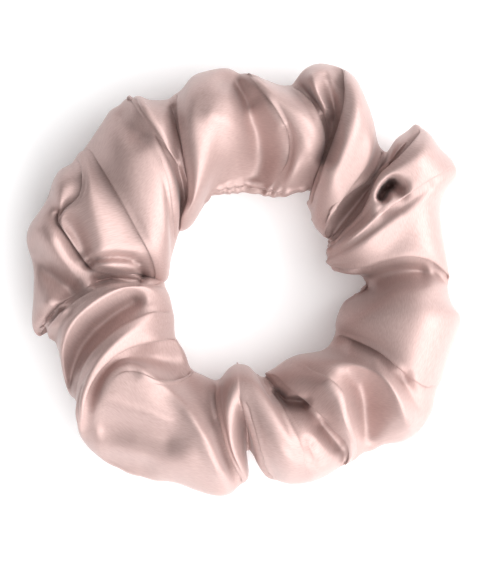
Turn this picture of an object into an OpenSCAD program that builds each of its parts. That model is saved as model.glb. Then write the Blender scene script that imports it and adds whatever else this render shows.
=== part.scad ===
// Satin scrunchie: a gathered satin sleeve over a flat elastic ring, lying on its side on a flat surface.
// Millimetres, +Z up, origin under the centre of the loop on the surface that the scrunchie lies on.
// The loop stretches along +X. The soft ring is cut into equal sectors, so that a tree of rigid
// bodies can follow it: the sector at -X is the held end and the sector at +X is the pulled end.

/* [Ring] */
// Diameter of the open loop at rest
loop_d = 43; // [36:1:60]
// Outer diameter of the gathered ring
ring_d = 110; // [100:1:130]
// Radius of the round parts of the puffed sleeve
puff_r = 16; // [14:0.5:18]
// Depth of the round that lies flat on the surface
base_flat = 1; // [0.5:0.5:3]
// Depth of the round that the elastic pulls flat at the loop
loop_flat = 1.5; // [1:0.5:3]

/* [Cloth] */
// Wall of the sleeve: several layers of gathered satin
cloth_t = 1; // [0.8:0.1:1.4]
// Depth of the two turned edges inside the lengthwise seam
allowance = 6; // [4:0.5:8]
// Arc of the sleeve's end that laps over its other end
lap_arc = 10; // [6:1:14]
// Thickness of that lap
lap_t = 0.6; // [0.4:0.1:1]

/* [Elastic] */
// Width of the elastic
elastic_w = 6; // [4:0.5:8]
// Thickness of the elastic
elastic_t = 1.2; // [0.8:0.1:1.6]
// Arc over which the elastic's ends are lapped
elastic_lap_arc = 24; // [16:1:26]

/* [Stitches] */
// Diameter of the sewing thread
thread_d = 0.4; // [0.3:0.1:0.6]
// Lengthwise stitches in one sector
seam_stitches = 4; // [3:1:6]
// Stitches in the row over the closing seam
closing_stitches = 9; // [5:1:12]

/* [Hidden] */
sectors = 12;
sector_arc = 360 / sectors;
slit_arc = 0.6;                 // free arc between two sectors
gap = 0.3;                      // room between the cloth and what it holds
overrun = 0.2;                  // how far cutters pass the faces they cut
round_fn = 96;
thread_fn = 16;

satin = [0.88, 0.75, 0.73];
band = [0.93, 0.91, 0.89];
thread = [0.80, 0.64, 0.63];

loop_r = loop_d / 2;
ring_r = ring_d / 2;
mid_z = puff_r - base_flat;
inner_c = loop_r + puff_r - loop_flat;  // centre of the inner round
outer_c = ring_r - puff_r;              // centre of the outer round
elastic_r = loop_r + cloth_t + gap;     // inner face of the elastic
seam_z = mid_z + elastic_w / 2 + 1;     // the seam runs just above the elastic

// The sleeve's names, round the ring from the held end over the top side to the pulled end and back.
upper = [for (i = [1 : sectors / 2 - 1]) str("upper_", i)];
lower = [for (i = [sectors / 2 - 1 : -1 : 1]) str("lower_", i)];
PLACES = concat(["held_end"], upper, ["pulled_end"], lower);
CLOSING = 9;                    // the place of the closing seam, on the -Y side

function place_angle(i) = 180 - i * sector_arc;

// The puffed section at one distance inside its outer face, flat towards the loop and at the base.
module section(inset) {
    r = puff_r - inset;
    intersection() {
        union() {
            translate([inner_c, mid_z]) circle(r = r, $fn = round_fn);
            translate([outer_c, mid_z]) circle(r = r, $fn = round_fn);
            translate([inner_c, mid_z - r]) square([outer_c - inner_c, 2 * r]);
        }
        translate([loop_r + inset, inset]) square([ring_r, 2 * puff_r]);
    }
}

// Turns a profile about the ring's axis through one arc, centred on +X.
module swept(arc) {
    rotate([0, 0, -arc / 2]) rotate_extrude(angle = arc, $fn = round_fn) children();
}

// The satin shell with the seam's turned edges standing inside it.
module sleeve_profile() {
    difference() {
        section(0);
        section(cloth_t);
    }
    translate([loop_r + cloth_t - overrun, seam_z]) square([allowance + overrun, cloth_t]);
}

// The end of the sleeve that is lapped over the other end, clear of the loop wall and of the base.
module closing_lap() {
    swept(lap_arc) intersection() {
        difference() {
            section(-lap_t);
            section(overrun);
        }
        translate([loop_r + cloth_t, cloth_t]) square([ring_r - loop_r - cloth_t, 3 * puff_r]);
    }
}

module sleeve(i) {
    color(satin) rotate([0, 0, place_angle(i)]) {
        swept(sector_arc - slit_arc) sleeve_profile();
        if (i == CLOSING) closing_lap();
    }
}

module elastic(i) {
    color(band) rotate([0, 0, place_angle(i)]) {
        swept(sector_arc - slit_arc)
            translate([elastic_r, mid_z - elastic_w / 2]) square([elastic_t, elastic_w]);
        if (i == CLOSING)
            swept(elastic_lap_arc)
                translate([elastic_r + elastic_t - overrun, mid_z - elastic_w / 2])
                    square([elastic_t + overrun, elastic_w]);
    }
}

// A straight stitch, centred, along its own X axis, with round ends.
module stitch(length) {
    rotate([0, 90, 0]) cylinder(h = length - thread_d, d = thread_d, center = true, $fn = thread_fn);
    for (side = [-1, 1])
        translate([side * (length - thread_d) / 2, 0, 0]) sphere(d = thread_d, $fn = thread_fn);
}

// A lockstitch row through the turned edges, just behind the sleeve's loop wall.
module seam_thread(i) {
    pitch = (sector_arc - slit_arc) / seam_stitches;
    row_r = loop_r + cloth_t + thread_d;
    length = 0.75 * row_r * pitch * PI / 180;
    color(thread)
        for (k = [0 : seam_stitches - 1], z = [seam_z, seam_z + cloth_t])
            rotate([0, 0, place_angle(i) + (k - (seam_stitches - 1) / 2) * pitch])
                translate([row_r, 0, z]) rotate([0, 0, 90]) stitch(length);
}

// The topstitching over the lap, from near the loop to near the outer edge.
module closing_thread() {
    span = 120;                             // how far round the section the row goes, in degrees
    row_r = puff_r + lap_t;
    length = 0.7 * row_r * span / closing_stitches * PI / 180;
    color(thread) rotate([0, 0, place_angle(CLOSING)])
        for (k = [0 : closing_stitches - 1]) {
            turn = span * ((k + 0.5) / closing_stitches - 0.5);
            at = turn > 0 ? inner_c : outer_c;
            translate([at, 0, mid_z]) rotate([0, -turn, 0])
                translate([0, 0, row_r]) stitch(length);
        }
}

// Two rows of bars that hold the elastic's lapped ends together, one at each end of the lap.
module elastic_lap_thread() {
    rows = [-0.35, 0.35] * elastic_lap_arc;
    color(thread) rotate([0, 0, place_angle(CLOSING)])
        for (row = rows, z = [-2 : 2])
            rotate([0, 0, row])
                translate([elastic_r + 2 * elastic_t, 0, mid_z + z * elastic_w / 6])
                    rotate([0, 0, 90]) stitch(3);
}

for (i = [0 : sectors - 1]) {
    sleeve(i);
    elastic(i);
    seam_thread(i);
}
closing_thread();
elastic_lap_thread();
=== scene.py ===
"""The look of a satin scrunchie that lies flat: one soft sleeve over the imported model's rigid sectors.

The sleeve is drawn in millimetres as a closed grid of points. Its rows follow the ring, and its columns
go round the tube, from the loop's edge over the top to the outer edge and back under the base. The grid
is laid through the drawn fold lines, then rounded, pressed, gathered and sewn, and made a mesh last.
"""

import math

import bpy
import numpy as np
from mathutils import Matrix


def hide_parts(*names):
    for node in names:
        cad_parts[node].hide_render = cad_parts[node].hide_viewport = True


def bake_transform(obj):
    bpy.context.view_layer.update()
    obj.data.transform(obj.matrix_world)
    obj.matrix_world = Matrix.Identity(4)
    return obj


MM = 0.001

# ---- the folds ------------------------------------------------------------------------------
# The folds are drawn as lines over the top of the sleeve, each from the loop to the outer edge,
# in millimetres: (x, y, z). They are listed clockwise from the closing seam. A "soft" line is a
# crest or a hollow of the surface. At an "over" line the fold before it hangs over the fold after
# it, and at an "under" line it is the other way about. The numbers are how deep the hidden surface
# lies below that edge, at even steps from the loop to the outer edge.
SOFT, OVER, UNDER = "soft", "over", "under"
FOLDS = [
    # closing seam and the strip left of it
    (SOFT, (), [(-1.6, -20.5, 13), (-1.6, -24, 24), (-1.4, -28, 26), (-0.6, -31, 21), (-0.2, -34, 15),
                (-0.2, -38, 13), (-0.1, -41.2, 9)]),
    (SOFT, (), [(-3.2, -20.4, 13), (-3.8, -24, 24), (-4, -28.4, 26.5), (-4.2, -33, 25), (-4, -38, 24),
                (-2.6, -43, 21), (-0.6, -47.4, 17), (0.9, -50.6, 9)]),
    (SOFT, (), [(-5.4, -21.9, 13), (-6, -25, 22.5), (-6, -30, 25), (-5.4, -36, 24.5), (-4.4, -41.4, 22),
                (-2, -46.4, 18), (0.4, -51, 9)]),
    (OVER, (1.5, 3, 4), [(-8.2, -24.8, 13), (-8.2, -28, 20), (-7.4, -33, 22.5), (-6.2, -38, 22.5),
                         (-5, -42.5, 20.5), (-3, -47.3, 17), (-0.8, -51.2, 9)]),
    # the large pillow at the lower left
    (SOFT, (), [(-10.5, -23.3, 12), (-10.8, -29, 21.5), (-9.4, -36, 24), (-7.2, -43, 23),
                (-4.6, -49, 19), (-3.2, -53.3, 10)]),
    (SOFT, (), [(-12.6, -22.8, 13), (-15.4, -26, 19.5), (-14.4, -30.4, 25), (-11.6, -35, 27),
                (-9, -40, 26.5), (-7.2, -46, 23), (-6.6, -54.9, 11)]),
    (SOFT, (), [(-13.2, -22.6, 12), (-16.8, -26, 21), (-19.6, -28.4, 25.5), (-19.4, -33, 28),
                (-17.6, -39, 27), (-16, -45, 23), (-15.5, -51.5, 11)]),
    (SOFT, (), [(-13.4, -22.3, 12), (-18, -25.2, 22), (-23, -25.6, 27), (-26, -29, 28.5),
                (-26.6, -35.4, 27), (-27.2, -43, 20), (-27.9, -49.2, 10)]),
    (OVER, (11, 6, 1, 0, 0, 0), [(-13.6, -22, 12), (-17, -24, 21), (-21.6, -23.9, 25.5),
                                 (-26, -22, 27.5), (-29.4, -21.3, 28), (-32.8, -23.2, 28.5),
                                 (-34.6, -27.4, 28.5), (-35.4, -33, 26), (-36.2, -38.6, 21),
                                 (-37, -44.6, 10)]),
    (SOFT, (), [(-14.6, -19.4, 10), (-18.8, -20.2, 12), (-23.2, -19.8, 14), (-28, -19.2, 19),
                (-32.6, -20.6, 25), (-36, -24.6, 27), (-37.2, -30, 27), (-37.8, -36.6, 22.5),
                (-39.4, -42.6, 10)]),
    (UNDER, (9, 5, 0.3), [(-17.4, -14.8, 13), (-22, -15, 22), (-27, -16, 26), (-31.6, -18, 28.5),
                          (-35.8, -21.6, 29.5), (-38.8, -26.6, 28.5), (-40.2, -33, 25),
                          (-41.4, -40, 11)]),
    (SOFT, (), [(-18.4, -11.6, 13), (-25, -12, 24), (-31, -14.4, 28.5), (-36.6, -19, 29.5),
                (-40.4, -25, 28), (-42, -32, 22), (-42.5, -36, 11)]),
    (OVER, (0.5, 6, 6), [(-18.3, -8, 13), (-23, -7, 22), (-28.5, -9.2, 26), (-34, -12.8, 28),
                         (-39, -18, 28), (-42, -24, 26), (-42.8, -30, 14)]),
    # the two folds at the left, and the dark hollow behind them
    (SOFT, (), [(-18.8, -5, 13), (-23.5, -3.6, 22), (-28.5, -5.6, 21), (-34, -9.4, 20),
                (-39.4, -14.8, 19), (-43.3, -21.6, 17), (-44, -26, 14), (-43.8, -29.8, 9)]),
    (SOFT, (), [(-19.8, -2, 13), (-24, -0.9, 23), (-30, -2.2, 28), (-37, -5.6, 29), (-42.3, -10, 27),
                (-45.2, -16, 24), (-45.8, -23, 18), (-45.2, -28, 10)]),
    (SOFT, (), [(-20.2, -1.2, 13), (-25, -0.3, 23), (-31, -0.8, 28), (-37, -3.4, 28.5), (-42, -7.2, 27),
                (-46, -11, 24), (-47.3, -14, 18), (-47, -18, 10)]),
    (OVER, (2, 6, 6, 4), [(-20.6, -0.6, 14), (-25.5, -0.1, 23), (-31.5, 0.1, 27), (-36, -1, 27),
                          (-41, -3.6, 26), (-46, -7.2, 24.5), (-50.8, -12, 18)]),
    (SOFT, (), [(-21.5, 0.6, 11), (-27, 1.2, 16), (-34, 1.2, 19), (-41, -2, 20), (-47, -6, 20),
                (-51.8, -10.6, 17), (-52.4, -14.4, 10)]),
    (SOFT, (), [(-22, 1.4, 10), (-28, 2.2, 16), (-35, 2.8, 20), (-42, 0.4, 21), (-48, -4.2, 21.5),
                (-52.6, -9, 18), (-54.4, -12, 11)]),
    (SOFT, (), [(-22.5, 2.2, 10), (-29, 3.6, 15), (-36, 4.8, 19), (-42.5, 4, 21), (-48.5, 1, 20.5),
                (-52.8, -1.5, 17), (-53.4, -5.5, 10)]),
    (SOFT, (), [(-23, 3, 10), (-30, 5, 15), (-37, 7, 20), (-43.5, 7.6, 22.5), (-49.5, 6, 22),
                (-53, 4, 17), (-53.2, 1.5, 10)]),
    (SOFT, (), [(-24, 4, 10), (-31, 7, 15), (-38, 10.5, 20), (-44, 13, 23.5), (-50, 14.2, 24),
                (-54, 13.2, 19), (-55.6, 12, 12)]),
    (SOFT, (), [(-25, 3.4, 9), (-32, 5.6, 13), (-39, 8.6, 18), (-44.5, 13.6, 20.5), (-48, 17.6, 20.5),
                (-49.6, 19.8, 17), (-50.4, 20.2, 11)]),
    # the leaf and the strip at the upper left
    (SOFT, (), [(-25.2, 2.8, 10), (-32, 4.4, 14), (-39, 7, 17.5), (-44, 13, 19.5), (-47.2, 18.4, 22),
                (-48, 22, 22), (-48.6, 24.6, 17), (-48.6, 25.6, 11)]),
    (SOFT, (), [(-25.3, 2.5, 10.4), (-32, 3.8, 15), (-39.4, 5.8, 18), (-44, 12.2, 19.5),
                (-46.6, 18, 23), (-45.8, 23, 25.5), (-46, 27, 22), (-46.4, 29.2, 12)]),
    (SOFT, (), [(-25.4, 2.1, 10.8), (-32, 3.2, 15.4), (-39.4, 4.8, 18.4), (-43.8, 11.4, 20),
                (-46.4, 17.6, 22.5), (-43.8, 22.6, 25), (-43.6, 26.8, 22), (-44, 29.6, 12)]),
    (UNDER, (2, 4, 4, 2.5, 1.5, 1), [(-25.5, 1.4, 13), (-32, 1.3, 20), (-38.4, 2.8, 22),
                                     (-41.4, 6.4, 24), (-44.2, 10.6, 25.5), (-46.8, 15.2, 25.5),
                                     (-45, 18.4, 25.5), (-42, 20.8, 26), (-41, 24.4, 26),
                                     (-41.6, 28.2, 22.5), (-43, 31.8, 14)]),
    (SOFT, (), [(-26, 1.8, 14), (-33, 3.2, 24), (-37.8, 5, 25), (-40, 9.4, 23.5), (-42, 14, 24),
                (-41.4, 18.4, 26), (-39.8, 22, 27.5), (-40, 27, 24.5), (-42, 33, 13)]),
    (SOFT, (), [(-26.2, 1.8, 13.5), (-31.8, 4.2, 22.5), (-35.4, 8, 27), (-37.4, 12.6, 28.5),
                (-38.4, 17.6, 29), (-38.4, 22.6, 28.5), (-39, 28, 24.5), (-40.9, 33.2, 12.5)]),
    (SOFT, (), [(-25.6, 0.8, 13), (-29, 5, 22), (-31.4, 10, 26), (-33.8, 15.2, 27.5), (-36, 20.6, 27),
                (-38.2, 26, 24.5), (-39.6, 30.2, 20), (-40.6, 33.4, 12)]),
    # the wide flat band
    (UNDER, (2, 2, 2), [(-23.6, -0.2, 13), (-23.6, 4, 21), (-25.4, 8.4, 26), (-28.2, 13.6, 28),
                        (-31.2, 19.4, 29), (-34.4, 25.2, 27), (-37.8, 30.4, 22), (-40.6, 34, 13)]),
    (SOFT, (), [(-21.5, -0.6, 13), (-21.6, 4.6, 22), (-23, 10, 27), (-25.4, 16.4, 29.5), (-28, 23, 30),
                (-31.4, 30, 28), (-35.4, 36.2, 22), (-38.4, 38, 13)]),
    (SOFT, (), [(-19.6, -0.4, 13), (-20, 6, 22), (-21, 12, 27), (-22.6, 18.6, 29.5), (-25, 26, 29.5),
                (-28.4, 34, 27.5), (-32, 40, 22), (-34.6, 43, 13)]),
    (SOFT, (), [(-19.4, 3.5, 13), (-19, 9.5, 22), (-19.3, 15, 26.5), (-20.4, 21, 28.5),
                (-22.6, 28, 28.5), (-26, 35.4, 26.5), (-29, 41, 23.5), (-31.2, 45.8, 14)]),
    (OVER, (4, 2, 0, 0), [(-17.9, 9.4, 13), (-17.8, 14, 21), (-18.2, 20, 26), (-19.2, 26, 27.5),
                          (-21.6, 31.5, 27), (-25, 37, 25.5), (-28, 42, 23.5), (-30.2, 46, 14)]),
    # the narrow triangle between the band and the upper fold
    (UNDER, (0, 0.5, 3, 3.5), [(-17, 12.5, 12), (-16, 17, 15), (-15.2, 22.6, 19), (-16.6, 27, 23),
                               (-20, 33, 27), (-23.8, 39, 28.5), (-26.6, 43, 27), (-28.4, 46.2, 18)]),
    (SOFT, (), [(-16.4, 13.4, 12), (-15.2, 18, 15), (-14.6, 23, 19), (-15.6, 28, 23), (-18.4, 34, 27),
                (-21.6, 40, 27.5), (-23.6, 43.6, 23), (-24.6, 45.6, 13)]),
    (SOFT, (), [(-16, 14, 11), (-14.8, 19, 14), (-14, 24, 18), (-14.6, 30, 21.5), (-16, 35.6, 24),
                (-17.6, 41, 24), (-18.8, 44.4, 19), (-19.4, 46, 11)]),
    # the upper fold
    (UNDER, (5, 5, 4), [(-17.2, 12.6, 13), (-16.6, 16, 19), (-15, 20.4, 23), (-15, 26, 26),
                        (-16, 32, 28), (-17, 39, 28.5), (-17.7, 44, 25), (-17.6, 47.4, 15)]),
    (SOFT, (), [(-15.6, 12.2, 13), (-14.6, 16.4, 20), (-13, 21, 24.5), (-12.6, 27, 28), (-13.2, 33, 30),
                (-14.2, 40, 30.5), (-14.6, 46.6, 26), (-14.2, 51.6, 14)]),
    (SOFT, (), [(-12.4, 16, 13), (-11.2, 20.4, 20), (-9.8, 25.6, 25), (-9.6, 31, 28.5), (-10, 37, 30),
                (-10.4, 43, 29), (-10.6, 48.6, 25), (-10.2, 53, 13)]),
    # the wide hollow where the lengthwise seam shows
    (SOFT, (), [(-9.8, 21.4, 11), (-8.6, 24.6, 17), (-7.4, 28.6, 22), (-7, 33.6, 26), (-7, 39, 28.5),
                (-7.2, 44.5, 28), (-7.8, 49.6, 24), (-7.4, 53.9, 13)]),
    (SOFT, (), [(-5, 21.8, 11), (-4.4, 25.2, 14.5), (-3.8, 29, 18), (-2.8, 34, 23.5), (-2.8, 39.6, 26),
                (-3.4, 45, 25.5), (-4.4, 50, 21.5), (-4, 53.8, 12)]),
    (SOFT, (), [(0.5, 22.4, 11), (1.6, 25, 12.5), (2.8, 29, 12.5), (2.8, 34.5, 14), (1.4, 40, 17),
                (-0.6, 45.6, 19), (-2.2, 49.6, 18.5), (-2, 53, 12)]),
    # the fold to the right of the hollow
    (UNDER, (0, 2, 4), [(5.5, 21.2, 12), (7, 24.6, 15.5), (9.6, 30, 20), (10, 35.6, 24.5),
                        (7.8, 40.6, 27.5), (4.4, 45.6, 28), (1.2, 49.4, 25.5), (-0.8, 52.3, 15)]),
    (SOFT, (), [(9, 21.2, 12), (10, 25, 19), (11.4, 30, 24), (12, 36, 27.5), (10.6, 41.6, 29),
                (8, 46, 27), (6.2, 48.8, 22), (5, 50.4, 14)]),
    (SOFT, (), [(13, 22.2, 12), (13.8, 26, 19), (15.4, 31, 24.5), (16.2, 36.4, 27.5), (14.8, 41.6, 28),
                (12.4, 45.2, 25), (10.6, 47.6, 20), (9.6, 49.4, 13)]),
    (OVER, (2, 4, 4), [(16.6, 22.6, 12), (17.4, 26, 18), (19, 31, 23), (19.6, 35.6, 25.5),
                       (18.6, 39.8, 26), (16.6, 44, 24.5), (13.8, 47.4, 20), (11, 49.3, 13)]),
    # small gathers behind the big upper right fold
    (SOFT, (), [(17, 22.2, 11), (18, 26, 15), (19.6, 31, 19), (20.4, 36, 21), (19.4, 41, 21),
                (16.8, 45.6, 20), (14, 49.4, 18), (11.8, 51.4, 11)]),
    (SOFT, (), [(17.4, 21.8, 11), (18.6, 26, 15.5), (20.2, 31, 19.5), (21, 36, 22), (19.8, 41.4, 24),
                (17.4, 46, 25), (15.6, 50.6, 24), (14.8, 54.2, 14)]),
    (SOFT, (), [(17.6, 21.5, 11), (19, 26, 15), (20.8, 31, 18.5), (21.8, 36, 20.5), (21.2, 41, 21.5),
                (19.4, 46, 23), (18, 50.6, 24), (17.4, 55, 14)]),
    (SOFT, (), [(17.8, 21.2, 11), (19.4, 26, 14), (21.4, 31, 16.5), (22.6, 36, 17.5),
                (22.6, 41.6, 18.5), (21.8, 47, 20.5), (20.6, 51.4, 21.5), (20, 54.8, 13)]),
    # the big upper right fold
    (UNDER, (3, 7, 3), [(15.6, 18.6, 13), (16.4, 21.8, 20), (18.2, 27, 26), (20.4, 33, 28),
                        (22.6, 39.4, 28.5), (23.8, 45, 27.5), (23.8, 49.6, 25), (23, 54.2, 14)]),
    (SOFT, (), [(15.9, 16, 13), (17.6, 20.4, 20.5), (20.4, 26, 27), (23.4, 32, 29.5), (26, 38.6, 30),
                (27.4, 44.6, 28.5), (27.2, 49, 24), (26.4, 52.4, 13)]),
    (SOFT, (), [(16.6, 14, 13), (19.6, 18.6, 20), (23, 23.6, 25), (26, 28.6, 26), (28.4, 33.6, 26.5),
                (29.6, 38.4, 26), (30, 43, 22), (29.4, 46.6, 13)]),
    (SOFT, (), [(18.4, 12, 13), (22, 16.6, 19), (25.6, 21.6, 22.5), (28.4, 25.8, 24), (30.6, 30, 25),
                (31.6, 34, 24), (32, 37.6, 19), (31.6, 40.4, 12)]),
    (OVER, (5, 9, 1), [(19.8, 11, 13), (20.4, 14.6, 18), (22.6, 19, 21.5), (26, 22.4, 22.5),
                       (30.2, 25.2, 22), (32.4, 28.4, 20.5), (33.6, 31, 17), (34.2, 33, 12)]),
    # the dark hollow before the right fold
    (SOFT, (), [(20.6, 10.6, 10), (22.6, 14, 11), (25, 17.2, 11.5), (28, 20.6, 12), (31.2, 24, 14),
                (33.6, 27.4, 17), (35.2, 31, 17), (35.8, 33, 11)]),
    (SOFT, (), [(21, 10.3, 10), (23.4, 13.4, 11), (26.2, 16.8, 11.5), (29.2, 20.6, 13),
                (32.6, 25.6, 18), (35.6, 30.4, 23), (37.2, 34.2, 23), (37.6, 36.8, 13)]),
    (SOFT, (), [(21, 10, 10), (24, 13.2, 12), (27.2, 16.8, 13), (29.8, 20.8, 15), (33.2, 26.4, 20),
                (37.2, 31, 23.5), (39.8, 35, 22), (40.6, 38, 12)]),
    # the curled fold at the right
    (UNDER, (5, 10, 1), [(20.4, 9, 13), (24, 13, 19), (28.2, 17.4, 23.5), (30.2, 21.4, 26),
                         (32.4, 26.4, 28), (37.4, 31, 28.5), (41, 35, 26), (43.4, 39, 15)]),
    (SOFT, (), [(20.2, 8, 13.5), (24.4, 11.8, 20), (29.6, 16.6, 24), (32, 21.6, 26.5), (34.6, 26.4, 29),
                (40, 30, 30), (44, 34.4, 27), (45.4, 38.2, 15)]),
    (SOFT, (), [(20, 7.4, 14), (24.6, 10.6, 21), (30, 15, 25), (34, 19.4, 26), (36.4, 23.6, 27),
                (39.4, 26.4, 28.5), (43.4, 28.8, 29), (46.6, 31.4, 25), (48.4, 33.6, 14)]),
    (OVER, (0, 1.5, 2), [(19.8, 6.6, 14), (24.8, 9.6, 22), (30.4, 13.6, 26), (35.4, 17.8, 27),
                         (39.6, 21, 28), (44.4, 24.2, 28), (49.6, 27.2, 24), (52.8, 29, 14)]),
    (SOFT, (), [(19.4, 5.6, 14), (24.6, 8, 22), (30, 11, 26), (35.4, 14, 26.5), (40, 16.6, 25.5),
                (44.4, 19.2, 24), (47.6, 20.6, 19), (49.2, 21.4, 12)]),
    (SOFT, (), [(19.6, 4.6, 13), (25, 5.6, 20), (31, 8, 23.5), (37, 11, 24), (42, 12.6, 24.5),
                (46, 13.8, 22), (48.2, 14.6, 17), (48.8, 15, 11)]),
    (OVER, (4, 5, 3), [(20.4, 4.4, 12), (23, 3.2, 16), (28.6, 3.2, 20), (34, 5, 22.5), (39.6, 6, 24),
                       (44.6, 5.3, 23), (48.4, 3, 18), (51, 0, 12)]),
    # the dip and the pillow at the lower right
    (SOFT, (), [(28.8, 2, 10), (31, 1.8, 14), (34.4, 2.4, 16.5), (38.4, 3, 18), (42.6, 2.8, 18.5),
                (46.6, 1.2, 17), (49.6, -0.6, 14), (51, -1.5, 9)]),
    (SOFT, (), [(30.4, -1, 11), (32.6, -1.4, 16), (35.4, -1, 19), (39, 0, 21), (43, 0, 22),
                (47, -1, 20), (49.6, -2.4, 16), (51, -3.4, 10)]),
    (SOFT, (), [(24.4, -4.6, 10), (28.6, -4.2, 15), (32.6, -3.4, 19), (36.8, -1.6, 22.5),
                (42, -2.6, 24.5), (47, -4.2, 22), (50.4, -6, 17), (52, -6.8, 11)]),
    (SOFT, (), [(22.8, -8, 13), (27, -7.6, 21), (32, -6.6, 25), (38, -7, 27.5), (44, -8.4, 28),
                (49.6, -8.6, 24), (53, -8, 18), (54.4, -8.6, 12)]),
    (SOFT, (), [(21.7, -11, 13), (26, -11.6, 20), (31, -12, 24.5), (37, -14.6, 27), (42.6, -17, 27),
                (47.6, -17.8, 23), (50.2, -17.6, 18), (51, -17.8, 12)]),
    (OVER, (3, 3, 0.5), [(22, -13.4, 12), (25.6, -14.4, 18), (29.6, -16, 22), (33.2, -18, 24.5),
                         (36.6, -21, 26), (40.6, -24.4, 25.5), (45, -26.6, 21), (48.6, -26, 12)]),
    # the gathers at the bottom right
    (SOFT, (), [(20.6, -16.4, 11), (24.6, -17.2, 17), (29, -19, 21), (33.4, -21.6, 23),
                (37.4, -25, 23.5), (41.2, -29, 22), (44.4, -32, 18), (46.8, -32.5, 11)]),
    (SOFT, (), [(18.4, -17.3, 13), (22.6, -18.6, 20), (27.6, -20.2, 24.5), (32.6, -22.6, 27),
                (36.2, -27, 27.5), (38.8, -32, 26), (41, -36.4, 21), (42.6, -39, 11)]),
    (SOFT, (), [(16.4, -17.6, 13), (20.8, -18.8, 20.5), (25.8, -20.4, 24), (30.2, -23.4, 23.5),
                (33, -28.6, 21), (33.6, -34, 18.5), (33.8, -39, 15), (34.6, -41.6, 9.5)]),
    (SOFT, (), [(14, -17.8, 13), (18.6, -19.4, 21), (23.6, -21.2, 23), (27.2, -24.6, 19.5),
                (28.8, -29.4, 16.5), (29.4, -34, 15), (29.8, -38.8, 13), (30.6, -43.2, 8.5)]),
    (UNDER, (0, 1, 7, 7, 2), [(10.4, -19, 13), (15, -21, 22), (20, -23.2, 27), (23.8, -26.6, 28),
                              (25, -32, 27), (26.6, -36.8, 24), (27.6, -41, 19), (25.8, -46, 9)]),
    (SOFT, (), [(8, -20.4, 13), (12.4, -22.8, 22), (17.6, -25.8, 26), (21, -29.6, 27), (23, -34, 26),
                (25, -38, 23.5), (26, -41.4, 19), (24.8, -46.6, 9.5)]),
    (OVER, (1, 6, 7, 3), [(5.4, -22.4, 13), (9.4, -26, 20.5), (14.6, -29.8, 24), (18, -33, 24.5),
                          (21, -36.4, 24), (24, -39.4, 22), (25.2, -43, 17), (24.2, -46.4, 9)]),
    (SOFT, (), [(5, -23, 11), (9, -28, 15), (14, -31.6, 18.5), (17, -35.2, 19.5), (19.6, -39, 19),
                (21.8, -42.8, 17), (23, -45.6, 13), (22.4, -47.8, 8)]),
    (SOFT, (), [(4.8, -23.6, 11), (8.4, -28.8, 15), (12.6, -32.6, 21), (15.4, -36.6, 22.5),
                (17.6, -41, 22), (19.4, -44.8, 19), (20, -47.6, 14), (19, -49.8, 8)]),
    (SOFT, (), [(4.6, -24.2, 11), (7.8, -29.4, 15), (11.4, -33.4, 21.5), (14.2, -38, 23.5),
                (16.2, -42.4, 23), (17.4, -46.4, 20), (17.2, -49.2, 14.5), (16.4, -50.6, 8)]),
    # the strip right of the closing seam
    (UNDER, (4, 5, 3, 0, 0), [(3.7, -23.8, 13), (5.8, -26.6, 20), (8.8, -30.7, 24.5), (11.4, -35.4, 26),
                              (13.8, -40.2, 25.5), (15, -44.8, 22.5), (14.6, -49, 16), (13.6, -51, 9)]),
    (SOFT, (), [(1.8, -22, 13), (3.4, -25, 22.5), (6, -30, 26.6), (8.2, -35.4, 28), (9.8, -40.8, 27.4),
                (10.6, -46, 23), (10.4, -49.8, 16), (9.8, -51, 10)]),
    (SOFT, (), [(0.2, -20.9, 13), (1.2, -24, 24), (2.6, -29, 27), (4.4, -34.4, 27.8), (6, -39.6, 26.8),
                (7.4, -44.8, 23), (8.2, -48.6, 17), (8.2, -50.7, 10)]),
    (OVER, (0, 0, 6, 4), [(-0.8, -20.5, 13), (-0.6, -24, 24), (-0.4, -28.4, 26.2), (0.6, -33, 26.4),
                          (2.2, -38.4, 25.2), (3.6, -43.6, 21.5), (5, -47.4, 16), (7, -50.2, 9)]),
]

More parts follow.
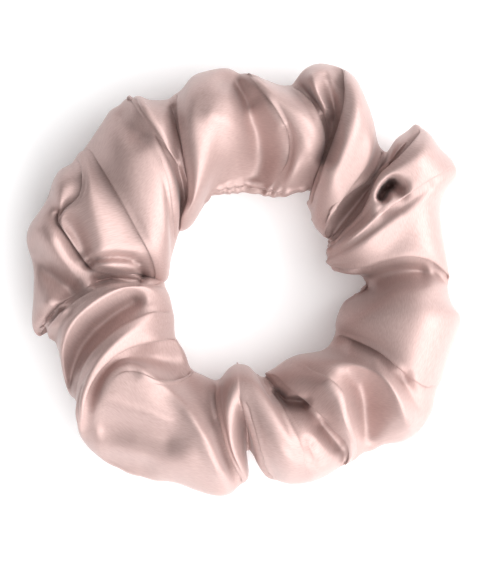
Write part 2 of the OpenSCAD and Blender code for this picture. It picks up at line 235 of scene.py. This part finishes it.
# Hollows and ridges pressed into the top of the sleeve after it is rounded: (lift, half width,
# how square the stroke's sides are, its path), all lengths in millimetres.
STROKES = [
    # the shoulder, the hollows and the crest of the large pillow
    (-4.2, 4.4, 2, [(-35, -36), (-27, -36.8), (-20, -38.6)]),
    (-2.6, 3.0, 2, [(-34, -44.6), (-26, -46.4)]),
    (1.6, 2.0, 2, [(-25, -22.6), (-20.5, -25.2), (-15, -30), (-11.6, -35.5), (-9.2, -41), (-7, -47)]),
    (-1.2, 2.0, 2, [(-14.6, -25.6), (-11.6, -29), (-9.6, -34)]),
    # the two folds at the left
    (-4, 2.6, 2, [(-44, -24), (-42.2, -16.5), (-38.5, -11.4), (-33.5, -7.4), (-28.6, -4.4)]),
    (-5, 1.8, 2, [(-51.6, -13), (-48.8, -13.6)]),
    (2.6, 2.2, 2, [(-49.4, -5), (-47, -5.6)]),
    (-4.4, 2.8, 2, [(-53.6, 7.4), (-50, 3.4), (-46.6, 0.4), (-44, -1.4)]),
    (1.6, 3.0, 2, [(-48, 9.6), (-45, 4.6), (-42, -1)]),
    # the rolled end of the strip, the leaf and the hollow beside them
    (1.4, 1.8, 2, [(-37, 3.4), (-34, 3.5), (-31, 3.4), (-28.4, 2.8)]),
    (-2.8, 0.9, 2, [(-39.4, 4.4), (-37.6, 5.7), (-33, 6.3), (-28.8, 5.9), (-26.6, 4.4), (-25.9, 1.4)]),
    (-4, 0.9, 2, [(-37.6, 0.2), (-34.4, 0.8), (-30.4, 0.6), (-27.2, 0.4)]),
    (-3, 2.4, 2, [(-45.4, 15.4), (-43, 11.6), (-41, 8)]),
    # the wide band, the triangle and the pocket with the seam
    (-2.5, 2.6, 2, [(-31, 41), (-27, 36)]),
    (-2, 1.4, 2, [(-18.4, 43), (-17.6, 35), (-16.8, 28), (-15.8, 21)]),
    (-2, 4.0, 2, [(3.4, 27), (4, 31), (2, 37)]),
    (-3.0, 2.5, 2, [(-5.5, 50.2), (-1.4, 48), (1.2, 45.6)]),
    (1.1, 1.5, 2, [(0, 50.2), (4.8, 44.8), (8.4, 38.8)]),
    (0.9, 2.4, 2, [(-8.6, 41), (-4, 38.4), (0.4, 36.8)]),
    (-1.2, 2.8, 2, [(10.8, 34), (13.4, 30), (14.4, 26.4)]),
    # the gathers behind the upper right fold
    (-5, 1.8, 2, [(20.8, 40), (20.8, 35), (19.6, 31)]),
    (1.2, 1.0, 2, [(15.6, 51), (17, 46.5), (19.6, 42.6)]),
    (-1.6, 1.2, 2, [(19.2, 51), (20.2, 47), (21.4, 43)]),
    # the dark hollow and the curled fold
    (-15, 1.2, 3, [(33.5, 21.3), (34.3, 23), (35.8, 24.4)]),
    (-5, 1.7, 2, [(36.4, 23.6), (37.4, 23)]),
    (-1.2, 1.6, 2, [(33.6, 17.6), (38, 18.4), (41.6, 21), (45, 23.6)]),
    # the dip and the pillow at the lower right
    (-3, 2.6, 2, [(30, 0.4), (36, 1.6), (43, 2)]),
    (-5, 1.6, 2, [(25.6, -3.4), (30, -2)]),
    # the gathers at the bottom right
    (1.6, 1.8, 2, [(26, -16.6), (31.4, -19.2), (35.4, -25), (38, -31), (40, -35.4)]),
    (-2.0, 2.0, 2, [(38.8, -24), (41.6, -29), (44, -34)]),
    (-2.5, 3.4, 2, [(28.4, -26), (29.6, -31), (29.6, -37)]),
    (2.4, 3.0, 2, [(19.6, -25), (22.4, -28.6), (24.4, -33), (26.4, -38.5)]),
    (-5.0, 1.3, 3, [(7.4, -28), (9.6, -30), (14, -30)]),
    (-2.5, 2.0, 2, [(18.6, -36), (22.4, -40.6)]),
    (-2.0, 1.6, 2, [(15.4, -40.4), (18.4, -44.6)]),
]

# The mesh of the sleeve. Lengths here and below are in millimetres, unless a comment says otherwise.
TOP_STEPS, BASE_STEPS = 84, 36   # columns over the top and under the base
LINE_STEP = 0.65                 # distance from row to row
DENSE = 24                       # samples between two drawn points, before a line is spaced evenly
BLUR_STEP = 0.15                 # sample spacing while the grid is rounded
EDGE_BLUR = (0.5, 0.8)           # how far a hanging edge is rounded, along the ring and across it
FOLD_BLUR = (1.8, 1.5)           # how far a soft fold is rounded
TOP_FROM, TOP_FULL = 7.0, 13.0   # heights between which the strokes come in

# The base: the shares of its width at which a line has a point, from the outer edge to the loop.
BASE_SHARES = (0.05, 0.2, 0.4, 0.6, 0.8, 0.95)
BASE_FLOOR = 0.4                 # height of the base
BASE_CURVE = 1.0                 # how far its two sides are above its middle
FULL_HEIGHT = 27.0               # a line that stays lower than this has a lifted base,
BASE_LIFT = 0.25                 # by this share of what it lacks

# The lines of one hanging edge: how far each lies from the edge, towards the fold below, where the
# edge is flat and where it hangs, and how far down it lies as a share of the edge's depth.
EDGE_PROFILE = [(-1.6, -1.6, 0), (-0.4, 0, 0.12), (0.4, -0.5, 0.4), (1.2, -2.4, 0.8), (2.0, 1.2, 1.0)]
EDGE_FULL = 1.6                  # depth at which an edge hangs over fully
EDGE_FADE = 0.18                 # share of an edge, at each end, over which it stops hanging
EDGE_END = 0.05                  # share of its depth that is left at its ends
EDGE_LOWEST = 5.0                # no line of an edge goes lower
LIP_CRISP = 0.4                  # how crisp an edge's first and last lines are, where the others are 1

# The gathers low on the outer side.
GATHER_DEPTH, GATHER_STEP = 1.0, 7.3
GATHER_DRIFT = (2.1, 37)         # how far the spacing wanders, in radians, and over what length
GATHER_VARY = (0.4, 61)          # how much the depth varies, as a share, and over what length
GATHER_AT = TOP_STEPS + 8        # the column where they are deepest
GATHER_REACH = 17                # columns each way

# The lengthwise seam: how many columns above the loop's inner edge it runs, by direction in degrees.
SEAM_SITES = [(-180, -3), (4, -3), (12, 0), (22, 1), (34, -3), (50, -2), (62, 2.5), (90, 3.5), (112, 3),
              (124, -3)]
SEAM_GROOVE, GROOVE_HALF = 0.8, 0.7              # depth and half width of the groove
SEAM_ROLL, ROLL_HALF, ROLL_AT = 0.6, 0.9, 1.5    # the roll beside it, and how far away it is
SEAM_PUCKER, PUCKER_HALF = 0.4, 2.4              # the puckers across it
PUCKER_STEP = 3.1
PUCKER_DRIFT = (1.7, 11)                         # as for the gathers
SEAM_FAINT, SEAM_FULL_AT = 0.1, 4                # share left at its lowest column, columns up to full

# The closing seam's lap, and the stitches along it.
LAP_ROWS, LAP_FADE, LAP_LIFT = 3, 3, 0.2         # rows each way, columns to its full height, height
CLOSING_FROM = 40                                # the column where the lap and its stitches start
STITCH, STITCH_GAP, THREAD_R = 2.2, 0.5, 0.17    # its length, the gap to the next, the thread's radius
THREAD_TIP = 0.55                                # a stitch's thickness at its ends, as a share
STITCH_RINGS, STITCH_SIDES = 6, 6                # mesh rings along a stitch, and points round it

# The elastic's path: direction in degrees and distance from the loop's centre.
ELASTIC_PATH = [(-90, 29.5), (-105, 31.5), (-120, 31.8), (-135, 30.5), (-150, 28.5), (-168, 29.5),
                (-180, 33.5), (-191, 32.5), (-205, 27.5), (-225, 26), (-240, 26.8), (-258, 29.5),
                (-270, 31.8), (-285, 31), (-300, 32.6), (-320, 30.5), (-335, 29.5), (-348, 32),
                (-360, 36.6), (-371, 33), (-385, 32), (-400, 32.6), (-412, 31), (-424, 29.5),
                (-437, 29.8)]
ELASTIC_Z, ELASTIC_W, ELASTIC_T = 6.3, 6.0, 1.2
ELASTIC_STEPS = 24               # rows between two points of the path
ELASTIC_RIBS, ELASTIC_RIPPLE = 6, 0.1
ELASTIC_SQUARE = 8               # how square the band's two edges are
ELASTIC_LAP = 8                  # rows each way that the lap's stitches run over

# The cloth, in metres. The grain's noise is this long along the cloth and across it.
CLOTH_LENGTH, CLOTH_WIDTH = 0.36, 0.112
SATIN_T = 0.3 * MM
GRAIN_LENGTH, GRAIN_WIDTH = 0.0010, 0.0004
FIBRE_RELIEF = 0.0001

# Pairs of a darker and a lighter colour.
SATIN = (0.37, 0.25, 0.23, 1), (0.57, 0.415, 0.39, 1)
THREAD = (0.36, 0.24, 0.22, 1), (0.55, 0.40, 0.37, 1)
BRAID = (0.70, 0.68, 0.65, 1), (0.86, 0.85, 0.82, 1)
LAP_THREAD = (0.66, 0.63, 0.60, 1), (0.82, 0.80, 0.77, 1)

# The sky is brightest in one direction and dark on the far side: (cosine to that direction, grey).
SKY_BRIGHT = (0.83, -0.28, 0.48)
SKY_STOPS = [(0, 0.08), (0.3, 0.27), (0.55, 0.66), (0.8, 0.9), (1, 0.9)]

# The camera, in metres: what its long side shows, and the point below it.
SHOWN = 141.5 * MM
AIM = (-0.25 * MM, -0.25 * MM, 15 * MM)

# Sockets of a colour mix node.
MIX_FACTOR, MIX_DARK, MIX_LIGHT, MIX_RESULT = 0, 6, 7, 2


# ---- closed curves and grids ----------------------------------------------------------------

def gaps_between(points):
    """Centripetal knot gaps of a closed row of points, or of a closed row of lines."""
    apart = np.linalg.norm((np.roll(points, -1, 0) - points)[..., :3], axis=-1)
    if apart.ndim > 1:
        apart = apart.mean(1)
    return np.sqrt(np.maximum(apart, 1e-4))


def smooth_ring(points, steps):
    """A closed smooth curve through points (or lines), with steps[i] samples from each to the next."""
    gaps = gaps_between(points)
    wide = (-1,) + (1,) * (points.ndim - 1)
    slope = (np.roll(points, -1, 0) - points) / gaps.reshape(wide)
    gap, gap_before = gaps.reshape(wide), np.roll(gaps, 1).reshape(wide)
    tangent = (slope * gap_before + np.roll(slope, 1, 0) * gap) / (gap + gap_before)
    rows = []
    for i, count in enumerate(steps):
        j = (i + 1) % len(points)
        t = (np.arange(count) / count).reshape(wide)
        rows.append((2 * t ** 3 - 3 * t ** 2 + 1) * points[i] + (3 * t ** 2 - 2 * t ** 3) * points[j]
                    + gaps[i] * ((t ** 3 - 2 * t ** 2 + t) * tangent[i] + (t ** 3 - t ** 2) * tangent[j]))
    return np.concatenate(rows)


def length_along(path):
    """The length of a polyline up to each of its points."""
    steps = np.linalg.norm(np.diff(path, axis=0), axis=1)
    return np.append(0, np.cumsum(steps))


def sampled(at, run, values):
    """The columns of values, known at run, at other places along the same line."""
    return np.stack([np.interp(at, run, values[:, k]) for k in range(values.shape[1])], 1)


def evenly(path, count):
    """count points spaced evenly along a polyline, its last point left out."""
    run = length_along(path[:, :3])
    return sampled(np.linspace(0, run[-1], count + 1)[:-1], run, path)


def uneven_wave(run, step, drift):
    """A wave of about this step along run. drift says how far its phase wanders, and over what length."""
    return np.sin(2 * np.pi * run / step + drift[0] * np.sin(2 * np.pi * run / drift[1]))


def normals_of(grid):
    """Outward unit normals of a closed grid of points."""
    along = np.roll(grid, -1, 0) - np.roll(grid, 1, 0)
    across = np.roll(grid, -1, 1) - np.roll(grid, 1, 1)
    normals = np.cross(along, across)
    return normals / np.maximum(np.linalg.norm(normals, axis=2, keepdims=True), 1e-9)


def at_columns(grid, columns):
    """The values of a closed grid at one column, with a fraction, on each row."""
    rows, low = np.arange(len(grid)), np.floor(columns).astype(int)
    share = (columns - low)[:, None]
    count = grid.shape[1]
    return grid[rows, low % count] * (1 - share) + grid[rows, (low + 1) % count] * share


def grid_mesh(name, grid):
    """A mesh from a closed grid of points in millimetres, with UVs in metres of cloth."""
    rows, columns = grid.shape[:2]
    index = np.arange(rows * columns).reshape(rows, columns)
    nxt = np.roll(index, -1, 0)
    quads = np.stack([index, nxt, np.roll(nxt, -1, 1), np.roll(index, -1, 1)], 2).reshape(-1, 4)
    mesh = bpy.data.meshes.new(name)
    mesh.from_pydata((grid.reshape(-1, 3) * MM).tolist(), [], quads.tolist())
    uv = mesh.uv_layers.new(name="cloth")
    u, v = np.meshgrid(np.arange(rows + 1) / rows, np.arange(columns + 1) / columns, indexing="ij")
    corner = [(0, 0), (1, 0), (1, 1), (0, 1)]
    uvs = np.stack([np.stack([u[a:rows + a, b:columns + b], v[a:rows + a, b:columns + b]], 2)
                    for a, b in corner], 2)
    uv.data.foreach_set("uv", (uvs * [CLOTH_LENGTH, CLOTH_WIDTH]).reshape(-1))
    mesh.polygons.foreach_set("use_smooth", [True] * len(mesh.polygons))
    mesh.update()
    return mesh


# ---- the sleeve's shape ---------------------------------------------------------------------

def closed_line(top):
    """A fold line closed under the sleeve, with fixed numbers of points above and below."""
    outer, inner = top[-1], top[0]
    across = inner[:2] - outer[:2]
    floor = BASE_FLOOR + BASE_LIFT * max(0, FULL_HEIGHT - top[:, 2].max())
    heights = (0.5 * outer[2], floor + BASE_CURVE, floor, floor, floor + BASE_CURVE, 0.5 * inner[2])
    base = np.array([[*(outer[:2] + share * across), z, 0] for share, z in zip(BASE_SHARES, heights)])
    ring = np.concatenate([top, base])
    path = smooth_ring(ring, [DENSE] * len(ring))
    turn = (len(top) - 1) * DENSE
    above = evenly(path[:turn + 1], TOP_STEPS)
    below = evenly(np.concatenate([path[turn:], path[:1]]), BASE_STEPS)
    return np.concatenate([above, below])


def towards_below(top, along, side):
    """The way from an edge to the fold below it, turned so that it never leaves the ring at its ends."""
    ahead = np.gradient(top[:, :2], axis=0)
    ahead /= np.linalg.norm(ahead, axis=1)[:, None]
    away = side * np.stack([ahead[:, 1], -ahead[:, 0]], 1)
    outward = top[:, :2] / np.linalg.norm(top[:, :2], axis=1)[:, None]
    at_end = np.interp(along, [0, EDGE_FADE, 1 - EDGE_FADE, 1], [1, 0, 0, 1])
    return away - (at_end * (away * outward).sum(1))[:, None] * outward


def edge_lines(top, depths, side):
    """The five lines of a hanging edge. side is 1 where the fold before it is the upper one."""
    reach = length_along(top[:, :3])
    along = reach / reach[-1]
    away = towards_below(top, along, side)
    depth = np.interp(along, np.linspace(0, 1, len(depths)), depths)
    depth *= np.interp(along, [0, EDGE_FADE, 1 - EDGE_FADE, 1], [EDGE_END, 1, 1, EDGE_END])
    hang = np.clip(depth / EDGE_FULL, 0, 1)
    lines = []
    for flat, hung, down in EDGE_PROFILE[::side]:
        line = top.copy()
        line[:, :2] += away * (flat * (1 - hang) + hung * hang)[:, None]
        line[:, 2] = np.maximum(line[:, 2] - down * depth, EDGE_LOWEST)
        line[:, 3] = hang * (1 if 0 < down < 1 else LIP_CRISP)
        lines.append(line)
    return lines


def sleeve_grid():
    """The sleeve as a closed grid of (x, y, z, how crisp the surface is there)."""
    lines = []
    for kind, depths, points in FOLDS:
        top = np.array([(x, y, z, 0) for x, y, z in points])
        lines += [top] if kind == SOFT else edge_lines(top, depths, 1 if kind == OVER else -1)
    loops = np.array([closed_line(top) for top in lines])
    apart = np.linalg.norm((np.roll(loops, -1, 0) - loops)[..., :3], axis=2).mean(1)
    return smooth_ring(loops, [max(2, round(a / LINE_STEP)) for a in apart])


def blurred(path, reach):
    """A closed path of points, each averaged with those within about reach along it."""
    run = length_along(np.concatenate([path, path[:1]]))
    count = int(run[-1] / BLUR_STEP)
    even = np.linspace(0, run[-1], count, endpoint=False)
    samples = sampled(even, run, np.concatenate([path, path[:1]]))
    waves = np.fft.rfftfreq(count, run[-1] / count)
    soft = np.exp(-2 * (math.pi * reach * waves) ** 2)[:, None]
    smooth = np.fft.irfft(np.fft.rfft(samples, axis=0) * soft, count, axis=0)
    return sampled(run[:-1], np.append(even, run[-1]), np.concatenate([smooth, smooth[:1]]))


def rounded(points, along, across):
    """A closed grid of points, rounded by the same number of millimetres everywhere."""
    made = points.copy()
    for column in range(made.shape[1]):
        made[:, column] = blurred(made[:, column], along)
    for row in range(made.shape[0]):
        made[row] = blurred(made[row], across)
    return made


def soften(grid):
    """Rounds the grid a little at the hanging edges and more on the soft folds."""
    crisp = rounded(grid[..., :3], *EDGE_BLUR)
    soft = rounded(grid[..., :3], *FOLD_BLUR)
    share = np.clip(grid[..., 3:], 0, 1)
    return soft + (crisp - soft) * share


def distance_to(path, places):
    """The distance from each place to a polyline, both seen from above."""
    nearest = np.full(places.shape[:-1], np.inf)
    for start, end in zip(path[:-1], path[1:]):
        step = end - start
        share = np.clip((places - start) @ step / (step @ step), 0, 1)
        apart = np.linalg.norm(places - start - share[..., None] * step, axis=-1)
        nearest = np.minimum(nearest, apart)
    return nearest


def sculpt(grid):
    """Presses the strokes into the top of the sleeve."""
    on_top = np.clip((grid[..., 2] - TOP_FROM) / (TOP_FULL - TOP_FROM), 0, 1)
    lift = np.zeros(on_top.shape)
    for height, half_width, square, points in STROKES:
        nearest = distance_to(np.array(points, float), grid[..., :2])
        lift += height * np.exp(-(nearest / half_width) ** square)
    grid[..., 2] += lift * on_top
    return grid


def gather(grid):
    """Draws in the outer side of the sleeve with the small gathers that the elastic makes."""
    run = length_along(grid[:, GATHER_AT])
    vary, over = GATHER_VARY
    strength = 1 - vary + vary * np.sin(2 * np.pi * run / over)
    across = (np.arange(grid.shape[1]) - GATHER_AT) / GATHER_REACH
    reach = np.cos(np.clip(across, -1, 1) * np.pi / 2) ** 2
    depth = GATHER_DEPTH * (0.5 + 0.5 * uneven_wave(run, GATHER_STEP, GATHER_DRIFT)) * strength
    return grid - (depth[:, None] * reach)[..., None] * normals_of(grid)


def seam_on(grid):
    """The lengthwise seam's place on each row of a closed grid: a column, with a fraction."""
    inner = grid[:, 0]
    turn = np.degrees(np.arctan2(inner[:, 1], inner[:, 0]))
    sites = np.array(SEAM_SITES, float)
    return np.interp(turn, sites[:, 0], sites[:, 1], period=360)


def seam_relief(grid):
    """How far the lengthwise seam lifts each point: its groove, the roll beside it and its puckers."""
    columns = seam_on(grid)
    line = at_columns(grid, columns)
    run = length_along(line)[:, None]
    count = grid.shape[1]
    offset = (np.arange(count) - columns[:, None] + count / 2) % count - count / 2
    apart = np.linalg.norm(grid - line[:, None], axis=2) * np.sign(offset)
    pucker = uneven_wave(run, PUCKER_STEP, PUCKER_DRIFT)
    lift = (-SEAM_GROOVE * np.exp(-(apart / GROOVE_HALF) ** 2)
            + SEAM_ROLL * np.exp(-((apart - ROLL_AT) / ROLL_HALF) ** 2)
            + SEAM_PUCKER * pucker * np.exp(-(apart / PUCKER_HALF) ** 2))
    shown = (columns - SEAM_SITES[0][1]) / SEAM_FULL_AT
    return lift * np.clip(shown, SEAM_FAINT, 1)[:, None]


def lap_relief(grid):
    """How far the closing seam's lap lifts each point. It lies over the grid's first and last rows."""
    rows, columns = grid.shape[:2]
    row = np.arange(rows)
    from_seam = np.minimum(row, rows - row)
    lapped = np.clip((np.arange(columns) - CLOSING_FROM) / LAP_FADE, 0, 1)
    return LAP_LIFT * np.clip(LAP_ROWS + 0.5 - from_seam, 0, 1)[:, None] * lapped


def sew(grid):
    """Draws in the lengthwise seam with its puckers, and laps the closing seam."""
    lift = seam_relief(grid) + lap_relief(grid)
    return grid + lift[..., None] * normals_of(grid)


# ---- the pieces -----------------------------------------------------------------------------

def nodes_named(frame, start):
    """The CAD nodes whose names start so."""
    return sorted(n for n in frame["nodes"] if n.startswith(start))


def add_piece(name, mesh, material):
    """A visual piece with its one material."""
    piece = bpy.data.objects.new(name, mesh)
    bpy.context.scene.collection.objects.link(piece)
    mesh.materials.append(material)
    return piece


def sewn_in(piece, frame, slot, *starts):
    """The piece's place is baked into its mesh, and it stands for the CAD nodes named so, which are
    hidden.
    """
    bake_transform(piece)
    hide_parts(*[name for start in starts for name in nodes_named(frame, start)])


def stitch(centre, up):
    """One stitch: the points round its thread, side by side, as it dips into the cloth at both ends."""
    rise = np.sin(np.linspace(0, np.pi, STITCH_RINGS))[:, None]
    centre = centre + up * THREAD_R * (2 * rise - 1)
    across = np.cross(np.gradient(centre, axis=0), up)
    across /= np.maximum(np.linalg.norm(across, axis=1), 1e-9)[:, None]
    thick = THREAD_R * (THREAD_TIP + (1 - THREAD_TIP) * rise)
    turns = np.arange(STITCH_SIDES) * 2 * np.pi / STITCH_SIDES
    return np.concatenate([centre + thick * (np.cos(turn) * across + np.sin(turn) * up) for turn in turns])


def stitch_faces(first):
    """The faces of one stitch, whose points start at this number: its sides and its two ends."""
    column = first + STITCH_RINGS * np.arange(STITCH_SIDES)
    faces = []
    for a, b in zip(column, np.roll(column, -1)):
        faces += [(a + k, b + k, b + k + 1, a + k + 1) for k in range(STITCH_RINGS - 1)]
    return faces + [tuple(column[::-1]), tuple(column + STITCH_RINGS - 1)]


def stitch_row(name, path, ups, material):
    """A row of stitches along a path on the cloth, where ups are the cloth's normals."""
    run = length_along(path)
    verts, faces = [], []
    for start in np.arange(0, run[-1] - STITCH, STITCH + STITCH_GAP):
        at = start + STITCH * np.linspace(0, 1, STITCH_RINGS)
        faces += stitch_faces(len(verts))
        verts += stitch(sampled(at, run, path), sampled(at, run, ups)).tolist()
    mesh = bpy.data.meshes.new(name)
    mesh.from_pydata((np.array(verts) * MM).tolist(), [], [tuple(int(i) for i in face) for face in faces])
    mesh.polygons.foreach_set("use_smooth", [True] * len(mesh.polygons))
    mesh.update()
    return add_piece(name, mesh, material)


def elastic_grid():
    """The braided band: a closed grid, with ribs along it and a ripple across."""
    polar = np.array(ELASTIC_PATH, float)
    turn = np.radians(polar[:, 0])
    centre = np.stack([polar[:, 1] * np.cos(turn), polar[:, 1] * np.sin(turn), 0 * turn + ELASTIC_Z], 1)
    path = smooth_ring(centre, [ELASTIC_STEPS] * len(centre))
    ahead = np.roll(path, -1, 0) - np.roll(path, 1, 0)
    outward = np.stack([-ahead[:, 1], ahead[:, 0], 0 * ahead[:, 0]], 1)
    outward /= np.linalg.norm(outward, axis=1)[:, None]
    share = np.linspace(-1, 1, 4 * ELASTIC_RIBS + 1)
    ribs = ELASTIC_RIPPLE * np.cos(share * np.pi * ELASTIC_RIBS)
    flat = 1 - share ** ELASTIC_SQUARE
    half = 0.5 * ELASTIC_T * flat ** 0.5 + ribs * flat
    wide = np.concatenate([share, share[-2:0:-1]]) * ELASTIC_W / 2
    thick = np.concatenate([half, -half[-2:0:-1]])
    wave = 1 + ELASTIC_RIPPLE * np.sin(np.arange(len(path)) * np.pi / 2)
    return (path[:, None] + outward[:, None] * (thick * wave[:, None])[..., None]
            + np.array([0, 0, 1]) * wide[None, :, None])


def make_elastic(frame):
    """The band inside the sleeve, and the stitches that join its two ends."""
    grid = elastic_grid()
    material = spun_material("elastic", BRAID, 0.5 * MM)
    band = add_piece("elastic_band", grid_mesh("elastic_band", grid), material)
    sewn_in(band, frame, "elastic", "elastic_held_end", "elastic_pulled_end", "elastic_upper_",
            "elastic_lower_")
    thread = spun_material("lap_thread", LAP_THREAD, 0.2 * MM)
    lap = np.arange(-ELASTIC_LAP, ELASTIC_LAP + 1)
    outer = 3 * ELASTIC_RIBS
    stitches = stitch_row("elastic_lap_stitches", grid[lap, outer], normals_of(grid)[lap, outer], thread)
    sewn_in(stitches, frame, "thread", "elastic_lap_thread")
    return band


def make_threads(frame, grid):
    """The rows of stitches over the lengthwise seam and the closing seam."""
    material = spun_material("thread", THREAD, 0.2 * MM)
    ups = normals_of(grid)
    columns = seam_on(grid)
    seam = stitch_row("seam_thread", at_columns(grid, columns), at_columns(ups, columns), material)
    sewn_in(seam, frame, "thread", "seam_thread_")
    closing = stitch_row("closing_stitches", grid[0, CLOSING_FROM:], ups[0, CLOSING_FROM:], material)
    sewn_in(closing, frame, "thread", "closing_thread")
    return [seam, closing]


def make_sleeve(frame):
    """The satin sleeve, with the band inside it and the threads on it."""
    grid = sew(gather(sculpt(soften(sleeve_grid()))))
    sleeve = add_piece("satin_sleeve", grid_mesh("satin_sleeve", grid), satin_material())
    shell = sleeve.modifiers.new("thickness", "SOLIDIFY")
    shell.thickness = SATIN_T
    shell.offset = -1
    sewn_in(sleeve, frame, "satin", "sleeve_")
    band = make_elastic(frame)
    threads = make_threads(frame, grid)


# ---- the materials --------------------------------------------------------------------------

def new_material(name, settings):
    """A material whose shader has these input values."""
    material = bpy.data.materials.new(name)
    material.use_nodes = True
    shader = material.node_tree.nodes["Principled BSDF"]
    for socket, value in settings.items():
        shader.inputs[socket].default_value = value
    return material


def vary_cloth(tree, noise, colours, relief):
    """Lets a noise take the base colour from dark to light, and raise fine fibres."""
    shader = tree.nodes["Principled BSDF"]
    dark, light = colours
    tint = tree.nodes.new("ShaderNodeMix")
    tint.data_type = "RGBA"
    tint.inputs[MIX_DARK].default_value = dark
    tint.inputs[MIX_LIGHT].default_value = light
    tree.links.new(noise.outputs["Fac"], tint.inputs[MIX_FACTOR])
    tree.links.new(tint.outputs[MIX_RESULT], shader.inputs["Base Color"])
    bump = tree.nodes.new("ShaderNodeBump")
    bump.inputs["Strength"].default_value = relief
    bump.inputs["Distance"].default_value = FIBRE_RELIEF
    tree.links.new(noise.outputs["Fac"], bump.inputs["Height"])
    tree.links.new(bump.outputs["Normal"], shader.inputs["Normal"])


def satin_material():
    """Pale rose satin: a soft broad sheen, fine threads and a little uneven colour."""
    material = new_material("satin", {
        "Metallic": 0.4,
        "Roughness": 0.48,
        "Anisotropic": 0.5,
        "Specular IOR Level": 0.5,
        "Sheen Weight": 0.2,
        "Sheen Roughness": 0.35,
    })
    tree = material.node_tree
    tangent = tree.nodes.new("ShaderNodeTangent")
    tangent.direction_type = "UV_MAP"
    tangent.uv_map = "cloth"
    tree.links.new(tangent.outputs["Tangent"], tree.nodes["Principled BSDF"].inputs["Tangent"])
    cloth = tree.nodes.new("ShaderNodeUVMap")
    cloth.uv_map = "cloth"
    space = tree.nodes.new("ShaderNodeMapping")
    space.inputs["Scale"].default_value = (1 / GRAIN_LENGTH, 1 / GRAIN_WIDTH, 1)
    space.inputs["Rotation"].default_value = (0, 0, math.radians(8))
    grain = tree.nodes.new("ShaderNodeTexNoise")
    grain.inputs["Scale"].default_value = 1
    grain.inputs["Detail"].default_value = 2
    tree.links.new(cloth.outputs["UV"], space.inputs["Vector"])
    tree.links.new(space.outputs["Vector"], grain.inputs["Vector"])
    vary_cloth(tree, grain, SATIN, 0.25)
    return material


def spun_material(name, colours, fibre):
    """Polyester thread or braid: a matte colour that varies a little, and fibres this wide."""
    material = new_material(name, {"Roughness": 0.6, "Sheen Weight": 0.3})
    tree = material.node_tree
    place = tree.nodes.new("ShaderNodeTexCoord")
    fibres = tree.nodes.new("ShaderNodeTexNoise")
    fibres.inputs["Scale"].default_value = 1 / fibre
    fibres.inputs["Detail"].default_value = 3
    tree.links.new(place.outputs["Object"], fibres.inputs["Vector"])
    vary_cloth(tree, fibres, colours, 0.4)
    return material


def paper_with_painted_glow():
    """Pale paper with a painted glow: a little emission that lightens the shadows cast on it."""
    return new_material("paper", {
        "Base Color": (0.93, 0.925, 0.93, 1),
        "Roughness": 0.9,
        "Specular IOR Level": 0.1,
        # painted glow: the paper gives off a little light of its own, which lightens the shadows on it
        "Emission Color": (1, 1, 1, 1),
        "Emission Strength": 0.15,
    })


# ---- the studio -----------------------------------------------------------------------------

def make_floor():
    """The sheet of paper that the scrunchie lies on."""
    bpy.ops.mesh.primitive_plane_add(size=6)
    floor = bpy.context.object
    floor.name = "floor"
    floor.data.materials.append(paper_with_painted_glow())


def add_area(name, place, size, power):
    """A square lamp that faces the frame's origin."""
    light = bpy.data.lights.new(name, "AREA")
    light.size = size
    light.energy = power
    lamp = bpy.data.objects.new(name, light)
    lamp.location = place
    lamp.rotation_euler = (-lamp.location).to_track_quat("-Z", "Y").to_euler()
    bpy.context.scene.collection.objects.link(lamp)


def make_sky():
    """A grey sky that is bright in one direction."""
    world = bpy.data.worlds.new("studio")
    bpy.context.scene.world = world
    world.use_nodes = True
    tree = world.node_tree
    place = tree.nodes.new("ShaderNodeTexCoord")
    toward = tree.nodes.new("ShaderNodeVectorMath")
    toward.operation = "DOT_PRODUCT"
    toward.inputs[1].default_value = SKY_BRIGHT
    ramp = tree.nodes.new("ShaderNodeValToRGB")
    stops = ramp.color_ramp.elements
    while len(stops) < len(SKY_STOPS):
        stops.new(1)
    for stop, (at, grey) in zip(stops, SKY_STOPS):
        stop.position = at
        stop.color = (grey, grey, grey, 1)
    background = tree.nodes["Background"]
    background.inputs["Strength"].default_value = 2.8
    tree.links.new(place.outputs["Generated"], toward.inputs[0])
    tree.links.new(toward.outputs["Value"], ramp.inputs["Fac"])
    tree.links.new(ramp.outputs["Color"], background.inputs["Color"])


def light_the_scene():
    """The sky, a key light from the right and a fill light from the front."""
    make_sky()
    add_area("key", place=(0.6, 0.05, 0.4), size=0.6, power=2.5)
    add_area("fill", place=(0.1, -0.7, 0.35), size=0.5, power=3)
    bpy.context.scene.view_settings.view_transform = "Standard"


def add_camera():
    """Straight above, from far off, with the loop's centre near the middle of the frame."""
    data = bpy.data.cameras.new("camera")
    data.lens = 200
    data.sensor_width = 36
    camera = bpy.data.objects.new("camera", data)
    x, y, z = AIM
    camera.location = (x, y, z + SHOWN * data.lens / data.sensor_width)
    bpy.context.scene.collection.objects.link(camera)
    bpy.context.scene.camera = camera


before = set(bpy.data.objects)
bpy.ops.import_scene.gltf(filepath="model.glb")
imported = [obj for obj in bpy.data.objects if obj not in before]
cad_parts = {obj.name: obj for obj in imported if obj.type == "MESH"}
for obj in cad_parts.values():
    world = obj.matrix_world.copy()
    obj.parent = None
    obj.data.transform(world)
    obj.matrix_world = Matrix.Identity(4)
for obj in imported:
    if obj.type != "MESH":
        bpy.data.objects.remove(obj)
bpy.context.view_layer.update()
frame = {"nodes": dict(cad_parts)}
make_sleeve(frame)
make_floor()
light_the_scene()
add_camera()
